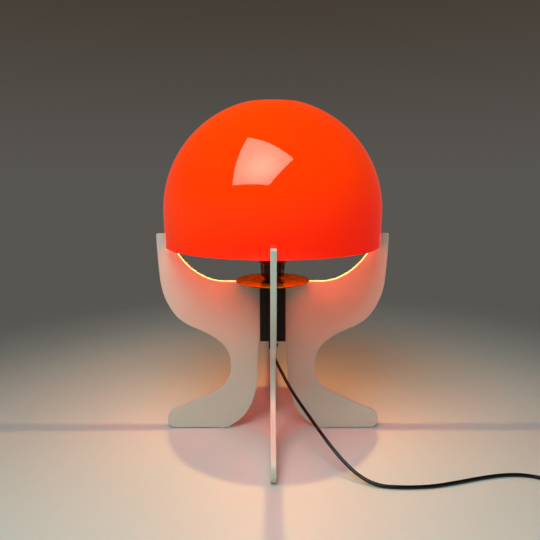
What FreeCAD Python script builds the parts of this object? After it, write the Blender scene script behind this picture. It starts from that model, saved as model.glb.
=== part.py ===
import FreeCAD, Part
import math
import os
from FreeCAD import Vector

# Mushroom table lamp: an acrylic dome resting in the notches of four upright fins that stand
# in a cross round a black square column, with a lampholder, a bulb and a mains lead.
# Millimetres, +Z up, origin on the floor below the column's axis, front fin towards -Y.

# fins and their pads
PAD_THICKNESS = 1.5
FIN_THICKNESS = 8.0
FIN_EDGE_ROUND = 0.8
PAD_SETBACK = 0.6
COLUMN_HALF = 20.0
FIN_ROOT_BOTTOM = 158.0
CRADLE_FLAT = 245.9
CRADLE_FLAT_END = 72.0
LEDGE_HEIGHT = 305.0
LEDGE_INNER = 154.5
HORN_INNER = 165.5
HORN_OUTER = 180.0
HORN_HEIGHT = 321.2
HORN_CORNER = 1.8
FOOT_FLAT_START = 80.0
FOOT_FLAT_END = 162.0
FIN_ANGLES = {"fin_right": 0, "fin_rear": 90, "fin_left": 180, "fin_front": 270}

# heights above the floor
LEDGE_Z = PAD_THICKNESS + LEDGE_HEIGHT
DISC_BOTTOM_Z = PAD_THICKNESS + CRADLE_FLAT
COLUMN_BOTTOM_Z = 154.4

# dome shade
DOME_RADIUS = 165.0
RIM_RADIUS = 164.4
SKIRT_HEIGHT = 50.8
DOME_WALL = 3.0
VENT_RADIUS = 43.6

# column, disc and threaded tube
COLUMN_WALL = 2.5
COLUMN_CORNER = 1.0
BASE_PLATE_THICKNESS = 5.0
SPIGOT_HEIGHT = 3.0
SPIGOT_GAP = 0.2
DISC_RADIUS = 57.3
DISC_THICKNESS = 2.0
TUBE_RADIUS = 4.95
TUBE_BORE = 4.0
THREAD_HOLE = 5.0
CLEAR_HOLE = 5.2
SMALL_CHAMFER = 0.5
WASHER_RADIUS = 9.0
WASHER_THICKNESS = 1.0
NUT_ACROSS = 14.0
NUT_HEIGHT = 4.0
SCREW_HEIGHTS = (180.0, 228.0)
SCREW_RADIUS = 1.95
SCREW_HOLE = 2.2
SCREW_HEAD = 2.2
SOCKET_RADIUS = 1.25
SOCKET_DEPTH = 1.2
INSERT_RADIUS = 3.0
INSERT_LENGTH = 12.0

# lampholder and bulb
HOLDER_Z = DISC_BOTTOM_Z + DISC_THICKNESS
SPLIT_Z = HOLDER_Z + 27.1
SHELL_TOP_Z = HOLDER_Z + 55.6
HOLDER_FLOOR = 9.6
NECK_HOLE = 5.05
NECK_RADIUS = 13.1
CONE_RADIUS = 17.2
HOLDER_RADIUS = 19.5
HOLDER_BORE = 15.6
RING_RADIUS = 21.2
RING_HEIGHT = 4.0
SHELL_RADIUS = 19.2
SHELL_ROOT = 18.4
SHELL_BORE = 14.3
SHELL_RINGS = 9
INSERT_Z = HOLDER_Z + 14.0
BLOCK_RADIUS = 15.4
TERMINAL_X = 9.0
TERMINAL_HOLE = 1.6
BULB_Z = HOLDER_Z + 29.9
BULB_RADIUS = 30.0
BULB_LENGTH = 105.0
GLASS_WALL = 1.0
GLASS_NECK = 12.3
NECK_HEIGHT = 24.0
POLAR_LOW = math.radians(-38)
CAP_RADIUS = 13.1
CAP_ROOT = 12.2
CAP_BORE = 11.4
CAP_START = 3.6
CAP_PITCH = 3.63
CAP_RINGS = 5
STEM_TOP = 60.0
WIRE_RADIUS = 0.4
CORE_RADIUS = 1.0

# cord grip below the column
GRIP_RADIUS = 6.5
GRIP_BOTTOM_Z = 135.4
GRIP_SCREW_Z = GRIP_BOTTOM_Z + 6.0
GRIP_THREAD_Z = GRIP_BOTTOM_Z + 9.5
GRIP_SCREW_RADIUS = 1.5
GRIP_SCREW_HEAD = 2.9
GRIP_HEAD_HEIGHT = 2.0
DRIVER_SLOT = 0.8

# cord, switch and plug
CORD_RADIUS = 2.5
CORD_BORE = 2.6
BORE_DEPTH = 8.0
CORD_IN_SWITCH = 6.0
SWITCH_START_X = 412.0
SWITCH_LENGTH = 60.0
SWITCH_WIDTH = 26.0
SWITCH_Y = -171.0
SWITCH_SPLIT_Z = 8.0
SWITCH_TOP_Z = 16.0
SWITCH_CORD_Z = 7.0
ROCKER_REACH = 10.0
ROCKER_WIDTH = 10.0
ROCKER_Z = 12.0
ROCKER_TILT = 8.0
AXLE_RADIUS = 1.5
AXLE_HALF = 8.0
RUNNING_GAP = 0.05
SWITCH_CORNER = 7.0
SWITCH_EDGE = 2.0
SWITCH_SEAM = 0.35
CAVITY_HALF = 5.5
WINDOW_GAP = 0.4
SWITCH_SCREW_RADIUS = 1.45
SWITCH_SCREW_HOLE = 1.5
SWITCH_SCREW_HEAD = 2.8
SWITCH_SCREW_SINK = 3.0
TERMINAL_HALF = 4.0
COIL_CENTRE = (462.0, -105.0)
COIL_OUTER = 37.9
TURN_STEP = 5.5
TURNS_IN = 3.0
TURNS_OUT = 2.5
TIE_THICKNESS = 0.6
TIE_WIDTH = 8.0
PLUG_Z = 6.85
PLUG_WIDTH = 35.3
PLUG_BODY = 30.0
PLUG_FRONT = 16.0
PLUG_BACK = 14.0
RELIEF_LENGTH = 24.0
RELIEF_GROOVES = 4
GROOVE_WIDTH = 1.6
GROOVE_STEP = 4.8
PIN_SPACING = 18.6
PIN_LENGTH = 19.0
PIN_RADIUS = 2.0
PIN_ROOT = 1.5
PIN_IN_PLUG = 8.0
SLEEVE_RADIUS = 1.8
SLEEVE_LENGTH = 10.0

# free stretch of the cord from the grip to the switch
LEAD_ROUTE = [
    (0, 0, GRIP_BOTTOM_Z), (0.5, -0.6, 129.4), (2.4, -3, 122.6), (6.4, -8.1, 114.6),
    (14.2, -17.8, 102.6), (24, -30.3, 87), (35.5, -47, 73), (51, -76, 60), (68, -107, 46),
    (88, -135, 28), (112, -159, 11), (138, -174, 2.5), (172, -178, 2.5), (212, -176, 2.5),
    (250, -166, 2.5), (287, -155, 2.5), (320, -148, 2.5), (346, -148, 2.5), (366, -155, 2.5),
    (380, -163, 2.8), (394, -168.5, 4.8), (407, -171, 7), (418, -171, 7),
]

# how far a cutting shape reaches past what it cuts, and the least size that counts
PAST = 1.0
TINY = 0.01

os.makedirs("parts", exist_ok=True)


def save(node, *solids):
    """Write one node's solids to its own file and print what they measure."""
    shape = solids[0] if len(solids) == 1 else Part.makeCompound(list(solids))
    shape.exportStep("parts/" + node + ".step")
    print(node, "solids", len(shape.Solids), "valid", shape.isValid(), "volume", round(shape.Volume))


def turned(profile):
    """Revolve a closed (radius, height) outline round the Z axis."""
    points = [Vector(radius, 0, height) for radius, height in profile]
    face = Part.Face(Part.makePolygon(points + points[:1]))
    return face.revolve(Vector(0, 0, 0), Vector(0, 0, 1), 360)


def rod(radius, length, start, axis=(0, 0, 1)):
    return Part.makeCylinder(radius, length, Vector(*start), Vector(*axis))


def through_hole(radius, low, high, x=0, y=0):
    """An upright cutting cylinder that reaches past both heights."""
    return rod(radius, high - low + 2 * PAST, (x, y, low - PAST))


def rounded(shape, radius, axis):
    """The shape with its edges along one axis rounded."""
    lengths = {"Y": lambda edge: edge.BoundBox.YLength, "Z": lambda edge: edge.BoundBox.ZLength}
    return shape.makeFillet(radius, [edge for edge in shape.Edges if lengths[axis](edge) > PAST])


def block(low, high):
    size = [top - bottom for bottom, top in zip(low, high)]
    return Part.makeBox(*size, Vector(*low))


def rotated(shape, angle, centre=(0, 0, 0), axis=(0, 0, 1)):
    copy = shape.copy()
    copy.rotate(Vector(*centre), Vector(*axis), angle)
    return copy


def around(solid):
    """Four copies of a solid drawn on the +X side, one for each fin."""
    return [rotated(solid, angle) for angle in FIN_ANGLES.values()]


def curve(points, start, end):
    """A smooth edge in the XZ plane through a few (x, z) points, with its two end tangents."""
    places = [Vector(x, 0, z) for x, z in points]
    spline = Part.BSplineCurve()
    spline.interpolate(Points=places, InitialTangent=Vector(*start), FinalTangent=Vector(*end))
    return spline.toShape()


def line(start, end):
    return Part.LineSegment(Vector(start[0], 0, start[1]), Vector(end[0], 0, end[1])).toShape()


def corner(start, middle, end):
    places = [Vector(x, 0, z) for x, z in (start, middle, end)]
    return Part.Arc(*places).toShape()


def fin():
    """One fin on the +X side: foot, waist, horn with its notch, and cradle under the dome."""
    cradle = [(CRADLE_FLAT_END, CRADLE_FLAT), (94.2, 248.4), (119, 260.2), (138.3, 277.7),
              (149, 292.4), (LEDGE_INNER, LEDGE_HEIGHT)]
    outside = [(HORN_OUTER, HORN_HEIGHT - HORN_CORNER), (179.5, 298), (177.8, 266), (172.7, 228),
               (161.6, 202), (144.9, 182), (119.9, 168.4), (94.6, 155), (75, 136), (67.6, 109),
               (70.4, 89.5), (84.5, 70), (111.2, 54.2), (138, 42), (151.3, 36), (164.8, 29.5),
               (171.4, 21), (172.5, 12), (169.5, 4), (FOOT_FLAT_END, 0)]
    inside = [(FOOT_FLAT_START, 0), (71.9, 2.6), (58.5, 10.4), (45.6, 23), (37.3, 36.5),
              (31.7, 50), (25.4, 78), (23.9, 112), (22.9, 137), (COLUMN_HALF, FIN_ROOT_BOTTOM)]
    cut = HORN_CORNER * (1 - math.sqrt(0.5))
    edges = [
        line((COLUMN_HALF, FIN_ROOT_BOTTOM), (COLUMN_HALF, CRADLE_FLAT)),
        line((COLUMN_HALF, CRADLE_FLAT), (CRADLE_FLAT_END, CRADLE_FLAT)),
        curve(cradle, (22, 0, 0), (6, 0, 16)),
        line((LEDGE_INNER, LEDGE_HEIGHT), (HORN_INNER, LEDGE_HEIGHT)),
        line((HORN_INNER, LEDGE_HEIGHT), (HORN_INNER, HORN_HEIGHT - HORN_CORNER)),
        corner((HORN_INNER, HORN_HEIGHT - HORN_CORNER), (HORN_INNER + cut, HORN_HEIGHT - cut),
               (HORN_INNER + HORN_CORNER, HORN_HEIGHT)),
        line((HORN_INNER + HORN_CORNER, HORN_HEIGHT), (HORN_OUTER - HORN_CORNER, HORN_HEIGHT)),
        corner((HORN_OUTER - HORN_CORNER, HORN_HEIGHT), (HORN_OUTER - cut, HORN_HEIGHT - cut),
               (HORN_OUTER, HORN_HEIGHT - HORN_CORNER)),
        curve(outside, (0, 0, -20), (-9, 0, 0)),
        line((FOOT_FLAT_END, 0), (FOOT_FLAT_START, 0)),
        curve(inside, (-9, 0, 0), (-3, 0, 20)),
    ]
    plate = Part.Face(Part.Wire(edges)).extrude(Vector(0, FIN_THICKNESS, 0))
    plate.translate(Vector(0, -FIN_THICKNESS / 2, PAD_THICKNESS))
    for height in SCREW_HEIGHTS:
        start = (COLUMN_HALF - PAST, 0, height)
        plate = plate.cut(rod(INSERT_RADIUS, INSERT_LENGTH + PAST, start, (1, 0, 0)))
    return plate.makeFillet(FIN_EDGE_ROUND, [edge for edge in plate.Edges if is_free_edge(edge)])


def is_free_edge(edge):
    """True for the long edges of a fin's two faces that a hand can touch."""
    box = edge.BoundBox
    on_face = box.YLength < TINY and abs(box.YMax) > FIN_THICKNESS / 2 - TINY
    at_column = box.XMax < COLUMN_HALF + TINY
    under_disc = box.ZLength < TINY and abs(box.ZMax - DISC_BOTTOM_Z) < TINY
    return on_face and not at_column and not under_disc


def fin_pad(plate):
    """Thin clear pad under the inner end of a foot, curling up round its corner."""
    half = FIN_THICKNESS / 2 - PAD_SETBACK
    outline = [(93, 0), (93, PAD_THICKNESS), (80, PAD_THICKNESS), (74.2, 3.3), (69.4, 5.4),
               (68.5, 3.9), (73, 1.4), (78, 0)]
    points = [Vector(x, -half, z) for x, z in outline]
    pad = Part.Face(Part.makePolygon(points + points[:1])).extrude(Vector(0, 2 * half, 0))
    return pad.cut(plate)


def fin_inserts():
    """Threaded brass inserts in a fin's edge."""
    inserts = []
    for height in SCREW_HEIGHTS:
        place = (COLUMN_HALF, 0, height)
        sleeve = rod(INSERT_RADIUS, INSERT_LENGTH, place, (1, 0, 0))
        inserts.append(sleeve.cut(rod(SCREW_RADIUS + RUNNING_GAP, INSERT_LENGTH, place, (1, 0, 0))))
    return inserts


def fin_screws():
    """Screws from inside the column into a fin's inserts."""
    screws = []
    for height in SCREW_HEIGHTS:
        head_start = COLUMN_HALF - COLUMN_WALL - SCREW_HEAD
        head = rod(2 * SCREW_RADIUS, SCREW_HEAD, (head_start, 0, height), (1, 0, 0))
        socket = rod(SOCKET_RADIUS, SOCKET_DEPTH, (head_start, 0, height), (1, 0, 0))
        shank = rod(SCREW_RADIUS, INSERT_LENGTH, (head_start + SCREW_HEAD, 0, height), (1, 0, 0))
        screws.append(head.cut(socket).fuse(shank))
    return screws


def core_tube():
    """Square black column tube with screw holes on its four faces."""
    bottom = COLUMN_BOTTOM_Z + BASE_PLATE_THICKNESS
    outer = block((-COLUMN_HALF, -COLUMN_HALF, bottom), (COLUMN_HALF, COLUMN_HALF, DISC_BOTTOM_Z))
    inner = COLUMN_HALF - COLUMN_WALL
    hollow = block((-inner, -inner, bottom), (inner, inner, DISC_BOTTOM_Z))
    tube = rounded(outer, COLUMN_CORNER, "Z").cut(hollow)
    reach = COLUMN_HALF + PAST
    for height in SCREW_HEIGHTS:
        tube = tube.cut(rod(SCREW_HOLE, 2 * reach, (-reach, 0, height), (1, 0, 0)))
        tube = tube.cut(rod(SCREW_HOLE, 2 * reach, (0, -reach, height), (0, 1, 0)))
    return tube


def base_plate():
    """Square plate that closes the column from below, with a spigot inside the tube."""
    top = COLUMN_BOTTOM_Z + BASE_PLATE_THICKNESS
    spigot = COLUMN_HALF - COLUMN_WALL - SPIGOT_GAP
    plate = block((-COLUMN_HALF, -COLUMN_HALF, COLUMN_BOTTOM_Z), (COLUMN_HALF, COLUMN_HALF, top))
    plate = rounded(plate, COLUMN_CORNER, "Z")
    plate = plate.fuse(block((-spigot, -spigot, top), (spigot, spigot, top + SPIGOT_HEIGHT)))
    return plate.cut(through_hole(CLEAR_HOLE, COLUMN_BOTTOM_Z, top + SPIGOT_HEIGHT))


def dome_shade():
    """Acrylic dome: straight skirt, half ball and a round vent hole in its crown."""
    centre = LEDGE_Z + SKIRT_HEIGHT
    inner = DOME_RADIUS - DOME_WALL
    outer_top = Vector(VENT_RADIUS, 0, centre + math.sqrt(DOME_RADIUS ** 2 - VENT_RADIUS ** 2))
    inner_top = Vector(VENT_RADIUS, 0, centre + math.sqrt(inner ** 2 - VENT_RADIUS ** 2))
    slant = math.sqrt(0.5)
    outer_mid = Vector(DOME_RADIUS * slant, 0, centre + DOME_RADIUS * slant)
    inner_mid = Vector(inner * slant, 0, centre + inner * slant)
    rim = Vector(RIM_RADIUS, 0, LEDGE_Z)
    inner_rim = Vector(RIM_RADIUS - DOME_WALL, 0, LEDGE_Z)
    skirt = Vector(DOME_RADIUS, 0, centre)
    inner_skirt = Vector(inner, 0, centre)
    edges = [
        Part.LineSegment(rim, skirt).toShape(),
        Part.Arc(skirt, outer_mid, outer_top).toShape(),
        Part.LineSegment(outer_top, inner_top).toShape(),
        Part.Arc(inner_top, inner_mid, inner_skirt).toShape(),
        Part.LineSegment(inner_skirt, inner_rim).toShape(),
        Part.LineSegment(inner_rim, rim).toShape(),
    ]
    return Part.Face(Part.Wire(edges)).revolve(Vector(0, 0, 0), Vector(0, 0, 1), 360)


def disc():
    """Thin round metal disc on the fins and the column, below the lampholder."""
    top = DISC_BOTTOM_Z + DISC_THICKNESS
    side = DISC_RADIUS - SMALL_CHAMFER
    return turned([(CLEAR_HOLE, DISC_BOTTOM_Z), (side, DISC_BOTTOM_Z),
                   (DISC_RADIUS, DISC_BOTTOM_Z + SMALL_CHAMFER), (DISC_RADIUS, top - SMALL_CHAMFER),
                   (side, top), (CLEAR_HOLE, top)])


def threaded_tube():
    """Hollow threaded tube that clamps the lampholder, disc, column and grip together."""
    bottom = GRIP_THREAD_Z
    top = HOLDER_Z + HOLDER_FLOOR
    side = TUBE_RADIUS - SMALL_CHAMFER
    return turned([(TUBE_BORE, bottom), (side, bottom), (TUBE_RADIUS, bottom + SMALL_CHAMFER),
                   (TUBE_RADIUS, top - SMALL_CHAMFER), (side, top), (TUBE_BORE, top)])


def lock_washer(bottom):
    ring = rod(WASHER_RADIUS, WASHER_THICKNESS, (0, 0, bottom))
    return ring.cut(through_hole(THREAD_HOLE, bottom, bottom + WASHER_THICKNESS))


def lock_nut(bottom):
    """Flat hexagon nut on the threaded tube."""
    reach = NUT_ACROSS / math.sqrt(3)
    points = [Vector(reach * math.cos(math.radians(60 * k)), reach * math.sin(math.radians(60 * k)), bottom)
              for k in range(6)]
    nut = Part.Face(Part.makePolygon(points + points[:1])).extrude(Vector(0, 0, NUT_HEIGHT))
    return nut.cut(through_hole(THREAD_HOLE, bottom, bottom + NUT_HEIGHT))


def cord_grip():
    """Round grip screwed on the threaded tube's lower end, with a bore for the cord."""
    body = turned([(0, GRIP_BOTTOM_Z), (GRIP_RADIUS - 1.2, GRIP_BOTTOM_Z),
                   (GRIP_RADIUS, GRIP_BOTTOM_Z + 1.4), (GRIP_RADIUS, COLUMN_BOTTOM_Z - 0.4),
                   (GRIP_RADIUS - 0.4, COLUMN_BOTTOM_Z), (0, COLUMN_BOTTOM_Z)])
    body = body.cut(rod(THREAD_HOLE, COLUMN_BOTTOM_Z - GRIP_THREAD_Z, (0, 0, GRIP_THREAD_Z)))
    body = body.cut(rod(CORD_BORE, GRIP_THREAD_Z - GRIP_BOTTOM_Z, (0, 0, GRIP_BOTTOM_Z)))
    side_hole = GRIP_SCREW_RADIUS + 2 * RUNNING_GAP
    return body.cut(rod(side_hole, GRIP_RADIUS + PAST, (0, 0, GRIP_SCREW_Z), (1, 0, 0)))


def grip_screw():
    """Slotted side screw that presses on the cord inside the grip."""
    height = GRIP_SCREW_Z
    inner_end = CORD_BORE + 2 * RUNNING_GAP
    shank = rod(GRIP_SCREW_RADIUS, GRIP_RADIUS - inner_end + TINY, (inner_end, 0, height), (1, 0, 0))
    head = rod(GRIP_SCREW_HEAD, GRIP_HEAD_HEIGHT, (GRIP_RADIUS, 0, height), (1, 0, 0))
    outer_end = GRIP_RADIUS + GRIP_HEAD_HEIGHT
    half = DRIVER_SLOT / 2
    slot = block((outer_end - DRIVER_SLOT, -GRIP_SCREW_HEAD - PAST, height - half),
                 (outer_end + PAST, GRIP_SCREW_HEAD + PAST, height + half))
    return shank.fuse(head).cut(slot)


def holder_cap():
    """Lower half of the lampholder: neck, short cone and tapering body."""
    z = HOLDER_Z
    top = SPLIT_Z
    inside = z + HOLDER_FLOOR
    return turned([(NECK_HOLE, z), (NECK_RADIUS - SMALL_CHAMFER, z), (NECK_RADIUS, z + SMALL_CHAMFER),
                   (NECK_RADIUS, z + 2.9), (CONE_RADIUS, z + 5.6), (CONE_RADIUS + 0.8, z + 6.8),
                   (HOLDER_RADIUS, top - 0.4), (HOLDER_RADIUS - 0.3, top), (HOLDER_BORE, top),
                   (HOLDER_BORE, inside), (NECK_HOLE, inside)])


def holder_ring():
    """Ring screwed on the lampholder's threaded shell."""
    top = SPLIT_Z + RING_HEIGHT
    bore = SHELL_RADIUS + 2 * RUNNING_GAP
    cut = 0.6
    return turned([(bore, SPLIT_Z), (RING_RADIUS - cut, SPLIT_Z), (RING_RADIUS, SPLIT_Z + cut),
                   (RING_RADIUS, top - cut), (RING_RADIUS - cut, top), (bore, top)])


def holder_shell():
    """Upper half of the lampholder with its outside thread drawn as rings."""
    start = SPLIT_Z + RING_HEIGHT + 0.6
    edge = 1.0
    step = (SHELL_TOP_Z - edge - start) / SHELL_RINGS
    outline = [(SHELL_BORE, SPLIT_Z), (SHELL_RADIUS, SPLIT_Z), (SHELL_RADIUS, start)]
    for k in range(SHELL_RINGS):
        low = start + k * step
        outline += [(SHELL_ROOT, low + 0.35 * step), (SHELL_ROOT, low + 0.6 * step),
                    (SHELL_RADIUS, low + step)]
    outline += [(SHELL_ROOT + 0.2, SHELL_TOP_Z), (SHELL_BORE, SHELL_TOP_Z)]
    return turned(outline)


def holder_insert():
    """Insulating block that carries the lampholder's contacts."""
    body = turned([(0, INSERT_Z), (BLOCK_RADIUS, INSERT_Z), (BLOCK_RADIUS, SPLIT_Z - 2),
                   (SHELL_BORE - 0.3, SPLIT_Z), (0, SPLIT_Z)])
    for side in (-1, 1):
        body = body.cut(rod(TERMINAL_HOLE, 12.0, (TERMINAL_X * side, 0, INSERT_Z - 2)))
    return body


def screw_shell():
    """Metal shell inside the lampholder that takes the bulb's cap."""
    bottom = SPLIT_Z + 0.2
    top = SHELL_TOP_Z - 3
    outer = SHELL_BORE - 0.4
    wall = 0.5
    foot = 0.6
    return turned([(7.0, bottom), (outer, bottom), (outer, top), (outer - wall, top),
                   (outer - wall, bottom + foot), (7.0, bottom + foot)])


def centre_contact():
    """Bent strip that touches the tip of the bulb."""
    top = BULB_Z - 0.3
    points = [(-6.0, SPLIT_Z), (-3.0, top - 0.6), (2.5, top - 0.6), (2.5, top), (-3.4, top),
              (-6.4, SPLIT_Z + 0.6), (-6.6, SPLIT_Z)]
    outline = [Vector(x, -2.5, z) for x, z in points]
    return Part.Face(Part.makePolygon(outline + outline[:1])).extrude(Vector(0, 5, 0))


def terminal_screw(side):
    """Terminal screw below the contact block, with a slotted head."""
    x = TERMINAL_X * side
    head_height = 2.2
    bottom = INSERT_Z - head_height - 0.2
    half = DRIVER_SLOT / 2
    head = rod(2.8, head_height, (x, 0, bottom))
    shank = rod(TERMINAL_HOLE - 2 * RUNNING_GAP, 7.0, (x, 0, bottom + 2))
    slot = block((x - 3, -half, bottom - PAST), (x + 3, half, bottom + DRIVER_SLOT))
    return head.fuse(shank).cut(slot)


def core_wire(side):
    """Insulated core from the end of the sheath to one terminal."""
    places = [(1.25, 5.0), (1.25, 8.0), (3.2, 11.2), (5.6, 12.6)]
    route = [Vector(x * side, 0, HOLDER_Z + z) for x, z in places]
    return swept(rounded_runs(route), CORE_RADIUS)


def bulb_glass():
    """Pear-shaped glass with an open neck inside the cap."""
    ball = BULB_Z + BULB_LENGTH - BULB_RADIUS
    neck = BULB_Z + NECK_HEIGHT
    cos_low = math.cos(POLAR_LOW)
    sin_low = math.sin(POLAR_LOW)

    def side(offset):
        radius = BULB_RADIUS - offset
        join = (radius * cos_low, ball + radius * sin_low)
        belly = Vector(radius, 0, ball)
        crown = Vector(0, 0, ball + radius)
        flank = curve([(GLASS_NECK - offset, neck), (GLASS_NECK + 0.9 - offset, neck + 10), join],
                      (0, 0, 10), (-16 * sin_low, 0, 16 * cos_low))
        return [flank, Part.Arc(Vector(join[0], 0, join[1]), belly, crown).toShape()]

    top = ball + BULB_RADIUS
    edges = side(0) + side(GLASS_WALL)
    edges.append(line((GLASS_NECK, neck), (GLASS_NECK - GLASS_WALL, neck)))
    edges.append(line((0, top), (0, top - GLASS_WALL)))
    wire = Part.Wire(Part.__sortEdges__(edges))
    return Part.Face(wire).revolve(Vector(0, 0, 0), Vector(0, 0, 1), 360)


def bulb_cap():
    """Screw cap of the bulb, its thread drawn as rounded rings."""
    bottom = BULB_Z + CAP_START
    thread = bottom + 1.0
    flank = CAP_RADIUS - 0.15
    outline = [(CAP_BORE, bottom), (CAP_ROOT - 0.2, bottom)]
    for k in range(CAP_RINGS):
        low = thread + k * CAP_PITCH
        outline += [(CAP_ROOT, low), (flank, low + 0.3 * CAP_PITCH),
                    (CAP_RADIUS, low + 0.5 * CAP_PITCH), (flank, low + 0.7 * CAP_PITCH)]
    collar = 12.8
    seat = GLASS_NECK + 0.1
    seat_z = BULB_Z + NECK_HEIGHT - 0.2
    top = BULB_Z + 26.4
    outline += [(collar, thread + CAP_RINGS * CAP_PITCH + 0.6), (collar, top), (seat, top),
                (seat, seat_z), (CAP_BORE, seat_z)]
    return turned(outline)


def bulb_tip():
    """Centre contact of the bulb."""
    return turned([(0, BULB_Z), (4.2, BULB_Z), (4.7, BULB_Z + 0.6), (4.7, BULB_Z + 1.4),
                   (0, BULB_Z + 1.4)])


def bulb_insulator():
    """Dark glass between the bulb's cap and its centre contact."""
    return turned([(0, BULB_Z + 1.4), (5.0, BULB_Z + 1.4), (CAP_BORE, BULB_Z + CAP_START),
                   (CAP_BORE, BULB_Z + 6), (0, BULB_Z + 6)])


def bulb_stem():
    """Glass stem inside the bulb."""
    top = BULB_Z + STEM_TOP
    return turned([(0, BULB_Z + 25), (10.6, BULB_Z + 25), (6, BULB_Z + 29), (3.2, BULB_Z + 36),
                   (2.4, top), (0, top)])


def bulb_filament():
    """Two lead wires and the bowed filament between them."""
    base = BULB_Z + STEM_TOP
    route = [Vector(-1.5, 0, base), Vector(-1.5, 0, base + 4), Vector(-13, 0, base + 13),
             Vector(0, 9, base + 17), Vector(13, 0, base + 13), Vector(1.5, 0, base + 4),
             Vector(1.5, 0, base)]
    return swept(rounded_runs(route), WIRE_RADIUS)


def rounded_runs(route, print_as=""):
    """Straight runs joined by tangent arcs, each as large as its two runs allow."""
    edges = []
    radii = []
    start = route[0]
    for before, here, after in zip(route, route[1:], route[2:]):
        back = before - here
        ahead = after - here
        shorter = min(back.Length, ahead.Length)
        half_turn = (math.pi - back.getAngle(ahead)) / 2
        reach = 0.45 * shorter
        radii.append(reach / math.tan(half_turn))
        first = here + back.normalize() * reach
        last = here + ahead.normalize() * reach
        edges.append(Part.LineSegment(start, first).toShape())
        edges.append(arc_between(first, here, last))
        start = last
    edges.append(Part.LineSegment(start, route[-1]).toShape())
    if print_as:
        print(print_as, "radii", [round(radius) for radius in radii])
    return edges


def arc_between(first, corner_point, last):
    """Arc from first to last that is tangent to the lines through their corner."""
    middle = (first + last) * 0.5
    rise = corner_point - middle
    half = (last - first).Length / 2
    leg = (corner_point - first).Length
    bend = math.acos(min(1.0, half / leg))
    crown = middle + rise.normalize() * (half * math.tan(bend / 2))
    return Part.Arc(first, crown, last).toShape()


def swept(edges, radius):
    """A round tube along tangent edges."""
    path = Part.Wire(edges)
    start = edges[0].firstVertex().Point
    direction = edges[0].tangentAt(edges[0].FirstParameter)
    ring = Part.Wire(Part.makeCircle(radius, start, direction))
    return path.makePipeShell([ring], True, False)


def cord_lead():
    """Free stretch of the cord from the grip down to the floor and on to the switch."""
    edges = rounded_runs([Vector(*place) for place in LEAD_ROUTE], "cord_lead")
    length = sum(edge.Length for edge in edges)
    tube = swept(edges, CORD_RADIUS)
    share = tube.Volume / (math.pi * CORD_RADIUS ** 2 * length)
    print("cord_lead length", round(length), "volume over section times length", round(share, 4))
    return tube


def biarc(start, heading, end, final):
    """Two tangent arcs from one place and heading to another."""
    span = end - start
    both = heading + final
    a = 2 * (1 - heading.dot(final))
    b = 2 * span.dot(both)
    c = -span.dot(span)
    if a < 1e-9:
        reach = -c / b
    else:
        reach = (-b + math.sqrt(b * b - 4 * a * c)) / (2 * a)
    first_corner = start + heading * reach
    last_corner = end - final * reach
    joint = (first_corner + last_corner) * 0.5
    pieces = []
    for first, corner_point, last in ((start, first_corner, joint), (joint, last_corner, end)):
        straight = (corner_point - (first + last) * 0.5).Length < 1e-4
        if straight:
            pieces.append(Part.LineSegment(first, last).toShape())
        else:
            pieces.append(arc_between(first, corner_point, last))
    return pieces


def coil_place(turn):
    """Centre line of the coil after so many turns: in on one layer, up, and out on the next."""
    low = CORD_RADIUS + TIE_THICKNESS
    inner = COIL_OUTER - TURN_STEP * TURNS_IN
    climb_end = TURNS_IN + 0.5
    height = low + TURN_STEP
    if turn <= TURNS_IN + 0.25:
        radius = COIL_OUTER - TURN_STEP * turn
    elif turn <= climb_end:
        radius = inner - TURN_STEP * (climb_end - turn)
    else:
        radius = inner + TURN_STEP * (turn - climb_end)
    if turn <= TURNS_IN:
        height = low
    elif turn < climb_end:
        height = low + TURN_STEP * (1 - math.cos(2 * math.pi * (turn - TURNS_IN))) / 2
    angle = 2 * math.pi * turn
    return Vector(COIL_CENTRE[0] + radius * math.cos(angle),
                  COIL_CENTRE[1] + radius * math.sin(angle), height)


def coil_stations():
    """Places and headings along the put-away length, from the switch to the plug."""
    step = 0.001
    exit_x = SWITCH_START_X + SWITCH_LENGTH
    along_x = Vector(1, 0, 0)
    along_y = Vector(0, 1, 0)
    stations = [(Vector(exit_x - CORD_IN_SWITCH, SWITCH_Y, SWITCH_CORD_Z), along_x),
                (Vector(exit_x + 5, SWITCH_Y, SWITCH_CORD_Z), along_x)]
    quarters = round(4 * (TURNS_IN + 0.5 + TURNS_OUT))
    for k in range(quarters + 1):
        turn = k / 4
        ahead = coil_place(turn + step) - coil_place(turn - step)
        ahead.z = 0 if turn % 1 in (0.0, 0.5) else ahead.z
        heading = along_y if k in (0, quarters) else ahead.normalize()
        stations.append((coil_place(turn), heading))
    last = stations[-1][0]
    stations.append((last + Vector(0, 15, 0), along_y))
    drop = Vector(0, 48, PLUG_Z - last.z)
    stations.append((last + drop, along_y))
    stations.append((last + drop + Vector(0, 5, 0), along_y))
    return stations


def coil_edges():
    edges = []
    stations = coil_stations()
    for (start, heading), (end, final) in zip(stations, stations[1:]):
        edges += biarc(start, heading, end, final)
    return edges


def least_gap(edges):
    """Least clear distance between stretches of the coil that aren't neighbours."""
    places = []
    for edge in edges:
        places += edge.discretize(max(2, int(edge.Length / 2.5)))[:-1]
    away = int(40 / 2.5)
    nearest = min((a - b).Length for i, a in enumerate(places) for b in places[i + away:])
    return nearest - 2 * CORD_RADIUS


def cord_coil():
    """The put-away length, wound in six turns on two layers, with its two straight ends."""
    edges = coil_edges()
    length = sum(edge.Length for edge in edges)
    tube = swept(edges, CORD_RADIUS)
    share = tube.Volume / (math.pi * CORD_RADIUS ** 2 * length)
    print("cord_coil length", round(length), "volume over section times length", round(share, 4),
          "least gap", round(least_gap(edges), 2))
    return tube


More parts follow.
